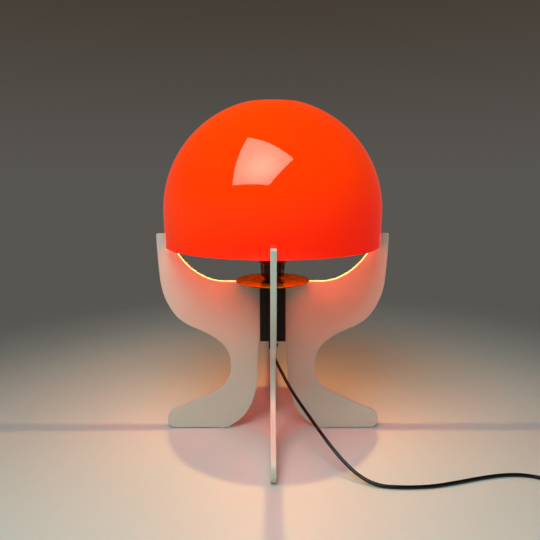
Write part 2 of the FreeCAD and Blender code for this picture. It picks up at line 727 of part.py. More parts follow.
def coil_tie():
    """Flat band round all the turns at the coil's left side."""
    slack = 0.4
    inner = COIL_OUTER - TURN_STEP * TURNS_IN
    nearest = math.sqrt(inner ** 2 - (TIE_WIDTH / 2) ** 2) - TURN_STEP / 20
    low_x = COIL_CENTRE[0] - (COIL_OUTER - TURN_STEP / 2) - CORD_RADIUS - slack
    high_x = COIL_CENTRE[0] - nearest + CORD_RADIUS + slack
    bottom = TIE_THICKNESS - 0.1
    top = 2 * CORD_RADIUS + TURN_STEP + TIE_THICKNESS + slack
    y = COIL_CENTRE[1]
    reach = TIE_WIDTH / 2
    outer = block((low_x - TIE_THICKNESS, y - reach, 0),
                  (high_x + TIE_THICKNESS, y + reach, top + TIE_THICKNESS))
    hole = block((low_x, y - reach - PAST, bottom), (high_x, y + reach + PAST, top))
    corner_round = 2.0
    inner_round = corner_round - TIE_THICKNESS
    return rounded(outer, corner_round, "Y").cut(rounded(hole, inner_round, "Y"))


def switch_bores():
    """Cord bores and screw holes that both halves of the switch share."""
    x = SWITCH_START_X
    far_x = x + SWITCH_LENGTH - BORE_DEPTH
    length = BORE_DEPTH + PAST
    cuts = [rod(CORD_BORE, length, (x - PAST, SWITCH_Y, SWITCH_CORD_Z), (1, 0, 0)),
            rod(CORD_BORE, length, (far_x, SWITCH_Y, SWITCH_CORD_Z), (1, 0, 0))]
    for place in switch_screw_places():
        cuts.append(rod(SWITCH_SCREW_HOLE, 12.0, (place[0], place[1], 1.0)))
    return cuts


def switch_screw_places():
    x = SWITCH_START_X
    return [(x + 12, SWITCH_Y - 8), (x + SWITCH_LENGTH - 12, SWITCH_Y + 8)]


def level_edges(shape, height):
    return [edge for edge in shape.Edges
            if edge.BoundBox.ZLength < TINY and abs(edge.BoundBox.ZMin - height) < TINY]


def switch_half(low, high):
    """Half of the switch's housing: a rounded block with a small chamfer where the halves meet."""
    x = SWITCH_START_X
    half = SWITCH_WIDTH / 2
    body = block((x, SWITCH_Y - half, low), (x + SWITCH_LENGTH, SWITCH_Y + half, high))
    body = rounded(body, SWITCH_CORNER, "Z")
    outside, joint = (low, high) if low == 0 else (high, low)
    body = body.makeFillet(SWITCH_EDGE, level_edges(body, outside))
    return body.makeChamfer(SWITCH_SEAM, level_edges(body, joint))


def switch_base():
    near_x = SWITCH_START_X + BORE_DEPTH
    far_x = SWITCH_START_X + SWITCH_LENGTH - BORE_DEPTH
    body = switch_half(0, SWITCH_SPLIT_Z)
    body = body.cut(block((near_x, SWITCH_Y - CAVITY_HALF, 2),
                          (far_x, SWITCH_Y + CAVITY_HALF, SWITCH_SPLIT_Z + PAST)))
    for place in switch_screw_places():
        body = body.cut(rod(SWITCH_SCREW_SINK, 2.5 + PAST, (place[0], place[1], -PAST)))
    for cut in switch_bores():
        body = body.cut(cut)
    return body


def switch_cover():
    x = SWITCH_START_X
    middle = x + SWITCH_LENGTH / 2
    body = switch_half(SWITCH_SPLIT_Z, SWITCH_TOP_Z)
    half_x = ROCKER_REACH + WINDOW_GAP
    half_y = ROCKER_WIDTH / 2 + 0.3
    window = block((middle - half_x, SWITCH_Y - half_y, SWITCH_SPLIT_Z - PAST),
                   (middle + half_x, SWITCH_Y + half_y, SWITCH_TOP_Z + PAST))
    body = body.cut(window)
    bearing_half = AXLE_HALF + 0.5
    bearing = rod(AXLE_RADIUS + RUNNING_GAP, 2 * bearing_half,
                  (middle, SWITCH_Y - bearing_half, ROCKER_Z), (0, 1, 0))
    body = body.cut(bearing)
    for cut in switch_bores():
        body = body.cut(cut)
    return body


def switch_rocker():
    """Rocker with its two axle ends, resting tipped to one side."""
    middle = SWITCH_START_X + SWITCH_LENGTH / 2
    side_y = SWITCH_Y - ROCKER_WIDTH / 2

    def at(angle):
        turn = math.radians(angle)
        return Vector(middle + ROCKER_REACH * math.cos(turn), side_y,
                      ROCKER_Z + ROCKER_REACH * math.sin(turn))

    dip = Vector(middle, side_y, ROCKER_Z + 4.6)
    edges = [
        Part.Arc(at(-18), at(15), at(36)).toShape(),
        Part.Arc(at(36), dip, at(144)).toShape(),
        Part.Arc(at(144), at(165), at(198)).toShape(),
        Part.LineSegment(at(198), at(-18)).toShape(),
    ]
    body = Part.Face(Part.Wire(edges)).extrude(Vector(0, ROCKER_WIDTH, 0))
    axle = rod(AXLE_RADIUS, 2 * AXLE_HALF, (middle, SWITCH_Y - AXLE_HALF, ROCKER_Z), (0, 1, 0))
    body = body.fuse(axle)
    return rotated(body, ROCKER_TILT, (middle, SWITCH_Y, ROCKER_Z), (0, 1, 0))


def switch_screw(place):
    """Slotted screw from below, its head sunk in the lower half."""
    x, y = place
    bottom = 0.6
    half = DRIVER_SLOT / 2
    head = rod(SWITCH_SCREW_HEAD, 1.9, (x, y, bottom))
    shank = rod(SWITCH_SCREW_RADIUS, 10.0, (x, y, 2.4))
    slot = block((x - SWITCH_SCREW_SINK, y - half, 0), (x + SWITCH_SCREW_SINK, y + half, bottom + 0.7))
    return head.fuse(shank).cut(slot)


def switch_contact(side):
    """Brass terminal block in the bottom of the switch."""
    x = SWITCH_START_X + SWITCH_LENGTH / 2 + side * 14
    half = TERMINAL_HALF
    return block((x - half, SWITCH_Y - half, 2), (x + half, SWITCH_Y + half, 4.5))


def plug_start():
    """Where the coil's tail enters the plug's strain relief."""
    return coil_stations()[-1][0]


def slot_wire(width, thickness, y, centre_x):
    """Rounded rectangle across the plug at one place along Y."""
    radius = min(width, thickness) / 2 - 0.5
    x = width / 2
    z = thickness / 2
    cut = radius * (1 - math.sqrt(0.5))
    edges = []

    def place(across, up):
        return Vector(centre_x + across, y, PLUG_Z + up)

    corners = [(1, 1), (-1, 1), (-1, -1), (1, -1)]
    for sx, sz in corners:
        from_side = place(sx * x, sz * (z - radius))
        middle = place(sx * (x - cut), sz * (z - cut))
        to_top = place(sx * (x - radius), sz * z)
        first, last = (from_side, to_top) if sx * sz > 0 else (to_top, from_side)
        edges.append(Part.Arc(first, middle, last).toShape())
    joined = []
    for k, edge in enumerate(edges):
        following = edges[(k + 1) % 4]
        joined.append(edge)
        joined.append(Part.LineSegment(edge.lastVertex().Point, following.firstVertex().Point).toShape())
    return Part.Wire(joined)


def plug_body():
    """Moulded flat two-pin plug with a ribbed, tapering strain relief."""
    start = plug_start()
    x = start.x
    face_y = plug_face_y()
    shoulder = face_y - PLUG_FRONT
    front = Part.Face(slot_wire(PLUG_WIDTH, 2 * PLUG_Z, shoulder, x)).extrude(Vector(0, PLUG_FRONT, 0))
    back = Part.makeLoft([slot_wire(13.0, 11.0, shoulder - PLUG_BACK, x),
                          slot_wire(PLUG_WIDTH, 2 * PLUG_Z, shoulder, x)], True, True)
    relief = Part.makeCone(3.8, 5.2, RELIEF_LENGTH, start, Vector(0, 1, 0))
    for k in range(RELIEF_GROOVES):
        place = (x, start.y + 3.2 + GROOVE_STEP * k, PLUG_Z)
        ring = rod(6.5, GROOVE_WIDTH, place, (0, 1, 0))
        relief = relief.cut(ring.cut(rod(3.4, GROOVE_WIDTH, place, (0, 1, 0))))
    body = front.fuse(back).fuse(relief)
    for side in (-1, 1):
        body = body.cut(pin_rod(PIN_ROOT, PIN_IN_PLUG, side, -PIN_IN_PLUG))
    return body.removeSplitter()


def plug_face_y():
    """The front face of the plug, where its pins come out."""
    return plug_start().y + RELIEF_LENGTH + PLUG_BODY


def pin_rod(radius, length, side, from_face):
    """A cylinder on one pin's axis that starts at a distance from the plug's face."""
    x = plug_start().x + side * PIN_SPACING / 2
    return rod(radius, length, (x, plug_face_y() + from_face, PLUG_Z), (0, 1, 0))


def plug_pin(side):
    """Round pin with a slimmer root inside the plug and its sleeve."""
    root = pin_rod(PIN_ROOT, PIN_IN_PLUG + SLEEVE_LENGTH, side, -PIN_IN_PLUG)
    tip = pin_rod(PIN_RADIUS, PIN_LENGTH - SLEEVE_LENGTH, side, SLEEVE_LENGTH)
    end_y = plug_face_y() + PIN_LENGTH - TINY
    end = [edge for edge in tip.Edges if edge.BoundBox.YMin > end_y]
    return root.fuse(tip.makeFillet(1.2, end))


def pin_sleeve(side):
    """Insulating sleeve on the root half of a pin."""
    outer = pin_rod(SLEEVE_RADIUS, SLEEVE_LENGTH, side, 0)
    return outer.cut(pin_rod(PIN_ROOT, SLEEVE_LENGTH, side, 0))


def build_stand():
    plate = fin()
    for node, angle in FIN_ANGLES.items():
        save(node, rotated(plate, angle))
    save("foot_pads", *around(fin_pad(plate)))
    save("fin_inserts", *[copy for insert in fin_inserts() for copy in around(insert)])
    save("fin_screws", *[copy for screw in fin_screws() for copy in around(screw)])
    save("column_tube", core_tube())
    save("column_base_plate", base_plate())
    save("disc", disc())
    save("threaded_tube", threaded_tube())
    washer_z = COLUMN_BOTTOM_Z + BASE_PLATE_THICKNESS + SPIGOT_HEIGHT
    save("lock_washer", lock_washer(washer_z))
    save("lock_nut", lock_nut(washer_z + WASHER_THICKNESS))
    save("cord_grip", cord_grip())
    save("grip_screw", grip_screw())


def build_light():
    save("dome_shade", dome_shade())
    save("holder_cap", holder_cap())
    save("holder_ring", holder_ring())
    save("holder_shell", holder_shell())
    save("holder_insert", holder_insert())
    save("screw_shell", screw_shell())
    save("centre_contact", centre_contact())
    save("terminal_screws", terminal_screw(-1), terminal_screw(1))
    save("inner_cord", rod(CORD_RADIUS, HOLDER_Z + 5 - GRIP_BOTTOM_Z, (0, 0, GRIP_BOTTOM_Z)))
    save("core_wires", core_wire(-1), core_wire(1))
    save("bulb_glass", bulb_glass())
    save("bulb_cap", bulb_cap())
    save("bulb_tip", bulb_tip())
    save("bulb_insulator", bulb_insulator())
    save("bulb_stem", bulb_stem())
    save("bulb_filament", bulb_filament())


def build_lead():
    save("cord_lead", cord_lead())
    save("cord_coil", cord_coil())
    save("coil_tie", coil_tie())
    save("switch_base", switch_base())
    save("switch_cover", switch_cover())
    save("switch_rocker", switch_rocker())
    save("switch_screws", *[switch_screw(place) for place in switch_screw_places()])
    save("switch_contacts", switch_contact(-1), switch_contact(1))
    save("plug_body", plug_body())
    save("plug_pins", plug_pin(-1), plug_pin(1))
    save("pin_sleeves", pin_sleeve(-1), pin_sleeve(1))


build_stand()
build_light()
build_lead()
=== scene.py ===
import bpy
import bmesh
import math
from mathutils import Matrix, Vector

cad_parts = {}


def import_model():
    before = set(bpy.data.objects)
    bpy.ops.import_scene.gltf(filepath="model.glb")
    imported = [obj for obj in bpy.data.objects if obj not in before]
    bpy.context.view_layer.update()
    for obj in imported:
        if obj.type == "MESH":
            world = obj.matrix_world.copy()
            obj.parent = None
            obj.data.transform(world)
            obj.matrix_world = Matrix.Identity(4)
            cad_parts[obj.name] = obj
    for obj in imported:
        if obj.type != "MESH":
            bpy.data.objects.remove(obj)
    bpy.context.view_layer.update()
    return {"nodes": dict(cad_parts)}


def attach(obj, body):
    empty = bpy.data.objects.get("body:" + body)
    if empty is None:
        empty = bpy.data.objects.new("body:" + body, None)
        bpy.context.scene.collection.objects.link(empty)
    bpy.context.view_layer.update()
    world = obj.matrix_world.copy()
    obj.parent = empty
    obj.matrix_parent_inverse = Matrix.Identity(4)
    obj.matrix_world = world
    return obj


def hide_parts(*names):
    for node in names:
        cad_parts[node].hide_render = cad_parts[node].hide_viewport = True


# Looks of the mushroom table lamp: orange acrylic dome, white fins, black column, lit bulb and
# black mains lead. Metres, in the CAD model's frame; the floor is z = 0.

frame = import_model()
scene = bpy.context.scene
scene.view_settings.view_transform = "Standard"

DOME_RADIUS = 0.165
DOME_RIM_RADIUS = 0.1644
DOME_WALL = 0.003
DOME_RIM_Z = 0.3065
DOME_CENTRE_Z = 0.3573
VENT_RADIUS = 0.0436
RIM_ROUND = 0.0006
SAME_PLACE = 1e-5
BULB_Z = 0.2793
BULB_LENGTH = 0.105
BULB_RADIUS = 0.030
BULB_CENTRE_Z = BULB_Z + BULB_LENGTH - BULB_RADIUS
BULB_WALL = 0.001
BULB_POLAR_LOW = math.radians(-38)
BULB_NECK = (0.0123, 0, BULB_Z + 0.024)
BULB_SHOULDER = (0.0130, 0, BULB_Z + 0.040)
BULB_FLARE = 0.013
CORD_RADIUS = 0.0025
SWITCH_END = (0.466, -0.171, 0.007)
COIL_CENTRE = (0.462, -0.105)
COIL_OUTER = 0.0379
TURN_STEP = 0.0055
TURNS_IN = 3.0
CLIMB_TURNS = 0.5
TURNS_OUT = 2.5
POINTS_PER_TURN = 16
TIE_THICKNESS = 0.0006
PLUG_Z = 0.00685
SWITCH_STRAIGHT = 0.012


# camera

SENSOR_WIDTH = 36.0
LENS = 35.75
CLIP_START = 0.02
CLIP_END = 60
CAMERA_PLACE = (-0.00524, -0.8281, 0.4161)
# angles in degrees
CAMERA_YAW = -0.074
CAMERA_DOWN = 10.36
CAMERA_ROLL = -0.071


def photo_camera():
    """The camera that the photograph was taken from, fitted to the lamp's edges."""
    data = bpy.data.cameras.new("photo_camera")
    data.sensor_width = SENSOR_WIDTH
    data.lens = LENS
    data.clip_start = CLIP_START
    data.clip_end = CLIP_END
    camera = bpy.data.objects.new("photo_camera", data)
    scene.collection.objects.link(camera)
    camera.location = CAMERA_PLACE
    turn = Matrix.Rotation(math.radians(CAMERA_YAW), 4, "Z")
    pitch = Matrix.Rotation(math.radians(90 - CAMERA_DOWN), 4, "X")
    roll = Matrix.Rotation(math.radians(CAMERA_ROLL), 4, "Z")
    camera.rotation_euler = (turn @ pitch @ roll).to_euler()
    scene.camera = camera


photo_camera()


# cords

# control points of the free lead, in millimetres
LEAD_ROUTE = [
    (0, 0, 135.4), (0.5, -0.6, 129.4), (2.4, -3, 122.6), (6.4, -8.1, 114.6),
    (14.2, -17.8, 102.6), (24, -30.3, 87), (35.5, -47, 73), (51, -76, 60), (68, -107, 46),
    (88, -135, 28), (112, -159, 11), (138, -174, 2.5), (172, -178, 2.5), (212, -176, 2.5),
    (250, -166, 2.5), (287, -155, 2.5), (320, -148, 2.5), (346, -148, 2.5), (366, -155, 2.5),
    (380, -163, 2.8), (394, -168.5, 4.8), (407, -171, 7), (418, -171, 7),
]
# from the switch into the coil, and the Y and Z of the way out of it to the plug
COIL_RUN_IN = [(0.4915, -0.1655, 0.0066), (0.4992, -0.1545, 0.0052), (0.5, -0.139, 0.0038),
               (0.5, -0.122, 0.0032)]
COIL_RUN_OUT = [(-0.092, 0.0086), (-0.080, 0.0083), (-0.068, 0.0073), (-0.058, PLUG_Z),
                (-0.052, PLUG_Z)]


def cord_curve(name, points):
    """A round cord along one smooth spline with these control points."""
    data = bpy.data.curves.new(name, "CURVE")
    data.dimensions = "3D"
    data.bevel_depth = 1.0
    data.bevel_resolution = 8
    data.resolution_u = 10
    data.use_fill_caps = True
    spline = data.splines.new("NURBS")
    spline.points.add(len(points) - 1)
    for point, place in zip(spline.points, points):
        point.co = (*place, 1.0)
        point.radius = CORD_RADIUS
    spline.order_u = 3
    spline.use_endpoint_u = True
    cord = bpy.data.objects.new(name, data)
    scene.collection.objects.link(cord)
    return cord


def coil_place(turn):
    """Centre line of the coil after so many turns: in on one layer, up, and out on the next."""
    low = CORD_RADIUS + TIE_THICKNESS
    inner = COIL_OUTER - TURN_STEP * TURNS_IN
    climb_end = TURNS_IN + CLIMB_TURNS
    if turn <= TURNS_IN + CLIMB_TURNS / 2:
        radius = COIL_OUTER - TURN_STEP * turn
    elif turn <= climb_end:
        radius = inner - TURN_STEP * (climb_end - turn)
    else:
        radius = inner + TURN_STEP * (turn - climb_end)
    height = low + TURN_STEP
    if turn <= TURNS_IN:
        height = low
    elif turn < climb_end:
        height = low + TURN_STEP * (1 - math.cos(2 * math.pi * (turn - TURNS_IN))) / 2
    # the spline runs inside its control points, so they stand a little further out
    stretch = 1 / (0.75 + 0.25 * math.cos(2 * math.pi / POINTS_PER_TURN))
    angle = 2 * math.pi * turn
    return (COIL_CENTRE[0] + radius * stretch * math.cos(angle),
            COIL_CENTRE[1] + radius * stretch * math.sin(angle), height)


def coil_points():
    """Control points from the switch, round the coil and out to the plug."""
    x, y, z = SWITCH_END
    points = [(x, y, z), (x + SWITCH_STRAIGHT / 2, y, z), (x + SWITCH_STRAIGHT, y, z), *COIL_RUN_IN]
    count = round((TURNS_IN + CLIMB_TURNS + TURNS_OUT) * POINTS_PER_TURN)
    points += [coil_place(k / POINTS_PER_TURN) for k in range(count + 1)]
    last_x = COIL_CENTRE[0] + COIL_OUTER - TURN_STEP / 2
    points += [(last_x, y, z) for y, z in COIL_RUN_OUT]
    return points


cord_lead = cord_curve("mains_lead", [[value / 1000 for value in place] for place in LEAD_ROUTE])
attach(cord_lead, "stand")
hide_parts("cord_lead")

cord_coil = cord_curve("mains_lead_coil", coil_points())
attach(cord_coil, "stand")
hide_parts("cord_coil")


# finishes

# a noise's values are spread from between these two
NOISE_LOW = 0.3
NOISE_HIGH = 0.7
METAL_GRAIN = 0.003
RING_SCALE = 1500

# the shade's glow outside, from low and right to high and left, darker and redder low and right as
# painted shade, and the share of X in that height
SHADE_GLOW = [(0.0, (0.76, 0.0, 0.0)), (0.3, (0.83, 0.013, 0.0)), (0.5, (0.85, 0.040, 0.0)),
              (0.75, (0.85, 0.050, 0.0)), (1.0, (0.82, 0.078, 0.0))]
SHADE_GLOW_INSIDE = (0.85, 0.07, 0.0)
SHADE_GLOW_STRENGTH = 0.75
SHADE_GLOW_LOW = -0.12
SHADE_GLOW_HIGH = 0.18
PAINTED_SHADE_LEAN = -0.3
# the inner side's own colour, oranger than the outside's: painted light, so that the light it bounces
# onto the fins comes out orange
SHADE_INSIDE = (0.70, 0.070, 0.002)
WALL_BLEND = 0.0005

# the bulb's glow from its neck to its top
BULB_GLOW = [(0.0, (0.45, 0.22, 0.06)), (0.6, (1.0, 0.64, 0.27)), (1.0, (1.0, 0.69, 0.31))]
BULB_GLOW_STRENGTH = 3.0
BULB_GLOW_LOW = 0.02
BULB_GLOW_HIGH = 0.075


class Finish:
    """A material whose colour, gloss and relief vary with the place on the object."""

    def __init__(self, name, colour, roughness):
        self.material = bpy.data.materials.new(name)
        self.material.use_nodes = True
        self.tree = self.material.node_tree
        self.shader = self.tree.nodes["Principled BSDF"]
        self.place = self.tree.nodes.new("ShaderNodeTexCoord")
        self.set("Base Color", (*colour, 1.0))
        self.set("Roughness", roughness)

    def set(self, socket, value):
        self.shader.inputs[socket].default_value = value

    def node(self, kind, **values):
        made = self.tree.nodes.new(kind)
        for name, value in values.items():
            setattr(made, name, value)
        return made

    def link(self, source, target):
        self.tree.links.new(source, target)

    def position(self, stretch=(1, 1, 1), centre=(0, 0, 0)):
        mapping = self.node("ShaderNodeMapping")
        mapping.inputs["Scale"].default_value = stretch
        mapping.inputs["Location"].default_value = [-c * s for c, s in zip(centre, stretch)]
        self.link(self.place.outputs["Object"], mapping.inputs["Vector"])
        return mapping.outputs["Vector"]

    def noise(self, size, detail=2.0):
        """Noise whose blotches are about this size in metres."""
        texture = self.node("ShaderNodeTexNoise")
        texture.inputs["Scale"].default_value = 1 / size
        texture.inputs["Detail"].default_value = detail
        self.link(self.position(), texture.inputs["Vector"])
        return texture.outputs["Fac"]

    def ramp(self, source, stops):
        """A colour for each value of the source."""
        ramp = self.node("ShaderNodeValToRGB")
        elements = ramp.color_ramp.elements
        while len(elements) < len(stops):
            elements.new(0.5)
        for element, (place, colour) in zip(elements, stops):
            element.position = place
            element.color = (*colour, 1.0)
        self.link(source, ramp.inputs["Fac"])
        return ramp.outputs["Color"]

    def either(self, share, colour, other):
        """A linked colour, or a fixed other one where the share is 1."""
        mix = self.node("ShaderNodeMix", data_type="RGBA")
        self.link(share, mix.inputs["Factor"])
        self.link(colour, mix.inputs["A"])
        mix.inputs["B"].default_value = (*other, 1.0)
        return mix.outputs["Result"]

    def spread(self, source, low, high, from_low=NOISE_LOW, from_high=NOISE_HIGH):
        """The source's middle values spread over a new range."""
        spread = self.node("ShaderNodeMapRange")
        for socket, value in (("From Min", from_low), ("From Max", from_high),
                              ("To Min", low), ("To Max", high)):
            spread.inputs[socket].default_value = value
        self.link(source, spread.inputs["Value"])
        return spread.outputs["Result"]

    def mottle(self, size, dark, light, detail=3.0):
        colour = self.ramp(self.noise(size, detail), [(NOISE_LOW, dark), (NOISE_HIGH, light)])
        self.link(colour, self.shader.inputs["Base Color"])

    def gloss(self, size, low, high, detail=3.0):
        self.link(self.spread(self.noise(size, detail), low, high), self.shader.inputs["Roughness"])

    def relief(self, size, depth, strength):
        """Fine bumps of this size and depth."""
        bump = self.node("ShaderNodeBump")
        bump.inputs["Strength"].default_value = strength
        bump.inputs["Distance"].default_value = depth
        self.link(self.noise(size), bump.inputs["Height"])
        self.link(bump.outputs["Normal"], self.shader.inputs["Normal"])


def white_sheet():
    finish = Finish("white_satin_sheet", (0.72, 0.73, 0.65), 0.34)
    finish.mottle(0.09, (0.68, 0.69, 0.61), (0.72, 0.73, 0.65))
    finish.gloss(0.03, 0.30, 0.40)
    finish.relief(0.0016, 0.00004, 0.25)
    return finish


def shade_radius(finish, place):
    """Distance from the ball's centre, and from the axis below it, so that a wall's two sides differ."""
    parts = finish.node("ShaderNodeSeparateXYZ")
    finish.link(place, parts.inputs["Vector"])
    above = finish.node("ShaderNodeMath", operation="MAXIMUM")
    finish.link(parts.outputs["Z"], above.inputs[0])
    above.inputs[1].default_value = 0.0
    raised = finish.node("ShaderNodeCombineXYZ")
    finish.link(parts.outputs["X"], raised.inputs["X"])
    finish.link(parts.outputs["Y"], raised.inputs["Y"])
    finish.link(above.outputs["Value"], raised.inputs["Z"])
    reach = finish.node("ShaderNodeVectorMath", operation="LENGTH")
    finish.link(raised.outputs["Vector"], reach.inputs[0])
    return reach.outputs["Value"]


def orange_acrylic():
    """Gloss orange acrylic that glows from the bulb inside, with painted shade that makes it redder low
    down and on the right.
    """
    finish = Finish("orange_acrylic", (0.90, 0.06, 0.003), 0.16)
    finish.set("IOR", 1.6)
    finish.set("Specular Tint", (1.0, 1.0, 0.8, 1.0))
    place = finish.position(centre=(0, 0, DOME_CENTRE_Z))
    parts = finish.node("ShaderNodeSeparateXYZ")
    finish.link(place, parts.inputs["Vector"])
    # painted shade: X tilts the glow's ramp so that the right side comes out darker and redder
    lean = finish.node("ShaderNodeMath", operation="MULTIPLY_ADD")
    finish.link(parts.outputs["X"], lean.inputs[0])
    lean.inputs[1].default_value = PAINTED_SHADE_LEAN
    finish.link(parts.outputs["Z"], lean.inputs[2])
    height = finish.spread(lean.outputs["Value"], 0.0, 1.0, SHADE_GLOW_LOW, SHADE_GLOW_HIGH)
    outside = finish.ramp(height, SHADE_GLOW)
    # the wall's inner side takes its own glow and its painted oranger colour
    middle_wall = DOME_RADIUS - DOME_WALL / 2
    inner = finish.spread(shade_radius(finish, place), 1.0, 0.0, middle_wall - WALL_BLEND,
                          middle_wall + WALL_BLEND)
    finish.link(finish.either(inner, outside, SHADE_GLOW_INSIDE), finish.shader.inputs["Emission Color"])
    finish.set("Emission Strength", SHADE_GLOW_STRENGTH)
    base = finish.ramp(finish.noise(0.12), [(NOISE_LOW, (0.84, 0.014, 0.0)),
                                            (NOISE_HIGH, (0.90, 0.020, 0.0))])
    finish.link(finish.either(inner, base, SHADE_INSIDE), finish.shader.inputs["Base Color"])
    finish.gloss(0.02, 0.025, 0.05)
    finish.relief(0.035, 0.00005, 0.2)
    return finish


def black_coat():
    finish = Finish("satin_black_coat", (0.007, 0.006, 0.005), 0.5)
    finish.set("Specular IOR Level", 0.25)
    finish.mottle(0.01, (0.005, 0.004, 0.0035), (0.009, 0.0075, 0.0065))
    finish.gloss(0.006, 0.42, 0.56)
    finish.relief(0.0009, 0.00005, 0.35)
    return finish


def satin_disc():
    """Spun metal: fine rings round the middle."""
    finish = Finish("spun_satin_metal", (0.35, 0.19, 0.03), 0.3)
    finish.set("Metallic", 1.0)
    finish.set("Specular Tint", (1.0, 0.6, 0.15, 1.0))
    reach = finish.node("ShaderNodeVectorMath", operation="LENGTH")
    finish.link(finish.position(stretch=(1, 1, 0)), reach.inputs[0])
    rings = finish.node("ShaderNodeTexNoise", noise_dimensions="1D")
    rings.inputs["Scale"].default_value = RING_SCALE
    finish.link(reach.outputs["Value"], rings.inputs["W"])
    colour = finish.ramp(rings.outputs["Fac"], [(NOISE_LOW, (0.30, 0.15, 0.018)),
                                                (NOISE_HIGH, (0.40, 0.22, 0.035))])
    finish.link(colour, finish.shader.inputs["Base Color"])
    finish.gloss(0.01, 0.20, 0.26)
    bump = finish.node("ShaderNodeBump")
    bump.inputs["Strength"].default_value = 0.08
    bump.inputs["Distance"].default_value = 0.00001
    finish.link(rings.outputs["Fac"], bump.inputs["Height"])
    finish.link(bump.outputs["Normal"], finish.shader.inputs["Normal"])
    return finish


def phenolic():
    finish = Finish("dark_phenolic", (0.009, 0.006, 0.005), 0.2)
    finish.set("Specular IOR Level", 0.4)
    finish.mottle(0.006, (0.004, 0.0025, 0.002), (0.009, 0.0055, 0.004))
    finish.gloss(0.004, 0.08, 0.16)
    finish.relief(0.002, 0.00002, 0.2)
    return finish


def metal(name, dark, light, rough_low, rough_high):
    finish = Finish(name, light, rough_high)
    finish.set("Metallic", 1.0)
    finish.mottle(METAL_GRAIN, dark, light)
    finish.gloss(METAL_GRAIN * 0.6, rough_low, rough_high)
    finish.relief(METAL_GRAIN * 0.3, 0.00002, 0.2)
    return finish


def plastic(name, dark, light, rough_low, rough_high, grain=0.0009):
    finish = Finish(name, light, rough_high)
    finish.mottle(0.006, dark, light)
    finish.gloss(0.004, rough_low, rough_high)
    finish.relief(grain, 0.00003, 0.35)
    return finish


def clear_pad():
    finish = Finish("clear_pad", (0.84, 0.87, 0.87), 0.25)
    finish.set("Transmission Weight", 0.45)
    finish.mottle(0.004, (0.78, 0.81, 0.81), (0.88, 0.90, 0.90))
    finish.gloss(0.003, 0.2, 0.35)
    return finish


def frosted_bulb():
    finish = Finish("lit_frosted_glass", (0.95, 0.90, 0.80), 0.45)
    finish.mottle(0.01, (0.92, 0.87, 0.76), (0.97, 0.93, 0.85))
    parts = finish.node("ShaderNodeSeparateXYZ")
    finish.link(finish.position(centre=(0, 0, BULB_Z)), parts.inputs["Vector"])
    height = finish.spread(parts.outputs["Z"], 0.0, 1.0, BULB_GLOW_LOW, BULB_GLOW_HIGH)
    finish.link(finish.ramp(height, BULB_GLOW), finish.shader.inputs["Emission Color"])
    finish.set("Emission Strength", BULB_GLOW_STRENGTH)
    return finish


def clear_glass(name, tint):
    finish = Finish(name, tint, 0.05)
    finish.set("Transmission Weight", 0.9)
    finish.set("IOR", 1.5)
    finish.gloss(0.004, 0.03, 0.1)
    return finish


def hot_wire():
    finish = metal("glowing_wire", (0.7, 0.5, 0.3), (0.9, 0.7, 0.4), 0.3, 0.45)
    finish.set("Emission Color", (1.0, 0.7, 0.35, 1.0))
    finish.set("Emission Strength", 6.0)
    return finish


def core_sheath():
    """Blue core on one side and brown on the other."""
    finish = Finish("core_sheaths", (0.05, 0.12, 0.5), 0.35)
    parts = finish.node("ShaderNodeSeparateXYZ")
    finish.link(finish.position(), parts.inputs["Vector"])
    side = finish.spread(parts.outputs["X"], 0.0, 1.0, -0.0002, 0.0002)
    colour = finish.ramp(side, [(0.45, (0.04, 0.12, 0.50)), (0.55, (0.18, 0.07, 0.03))])
    finish.link(colour, finish.shader.inputs["Base Color"])
    finish.gloss(0.002, 0.3, 0.45)
    return finish


def glazed_ceramic():
    finish = Finish("glazed_ceramic", (0.80, 0.78, 0.73), 0.22)
    finish.mottle(0.004, (0.76, 0.73, 0.67), (0.83, 0.81, 0.77))
    finish.gloss(0.003, 0.16, 0.3)
    return finish


def dress(finish, *nodes):
    """Gives CAD nodes their finish."""
    for name in nodes:
        slots = frame["nodes"][name].data.materials
        slots.clear()
        slots.append(finish.material)


white = white_sheet()
black_plastic = plastic("moulded_black", (0.012, 0.012, 0.012), (0.02, 0.02, 0.02), 0.34, 0.46)
nickel = metal("nickel_plate", (0.66, 0.64, 0.60), (0.76, 0.74, 0.70), 0.16, 0.28)
lead_black = plastic("lead_sheath", (0.004, 0.004, 0.004), (0.008, 0.0075, 0.0075), 0.14, 0.20, 0.003)
lead_black.set("Specular IOR Level", 0.35)
dress(white, "fin_right", "fin_rear", "fin_left", "fin_front")
dress(clear_pad(), "foot_pads")
dress(metal("brass", (0.60, 0.40, 0.14), (0.74, 0.54, 0.22), 0.25, 0.4),
      "fin_inserts", "switch_contacts", "centre_contact")
dress(metal("zinc_steel", (0.50, 0.50, 0.50), (0.62, 0.62, 0.60), 0.28, 0.42),
      "fin_screws", "threaded_tube", "lock_washer", "lock_nut", "terminal_screws", "switch_screws")
dress(black_coat(), "column_tube", "column_base_plate")
dress(satin_disc(), "disc")
dress(phenolic(), "cord_grip", "holder_cap", "holder_ring", "holder_shell")
dress(metal("black_steel", (0.10, 0.10, 0.10), (0.22, 0.21, 0.20), 0.3, 0.45), "grip_screw")
dress(glazed_ceramic(), "holder_insert")
dress(nickel, "screw_shell", "bulb_cap", "bulb_tip", "plug_pins")
dress(lead_black, "inner_cord")
dress(core_sheath(), "core_wires")
dress(clear_glass("dark_cap_glass", (0.04, 0.03, 0.05)), "bulb_insulator")
dress(clear_glass("stem_glass", (0.90, 0.93, 0.95)), "bulb_stem")
dress(hot_wire(), "bulb_filament")
dress(black_plastic, "switch_base", "switch_cover", "plug_body")
dress(plastic("rocker_black", (0.02, 0.02, 0.02), (0.035, 0.034, 0.033), 0.2, 0.3, 0.003),
      "switch_rocker")
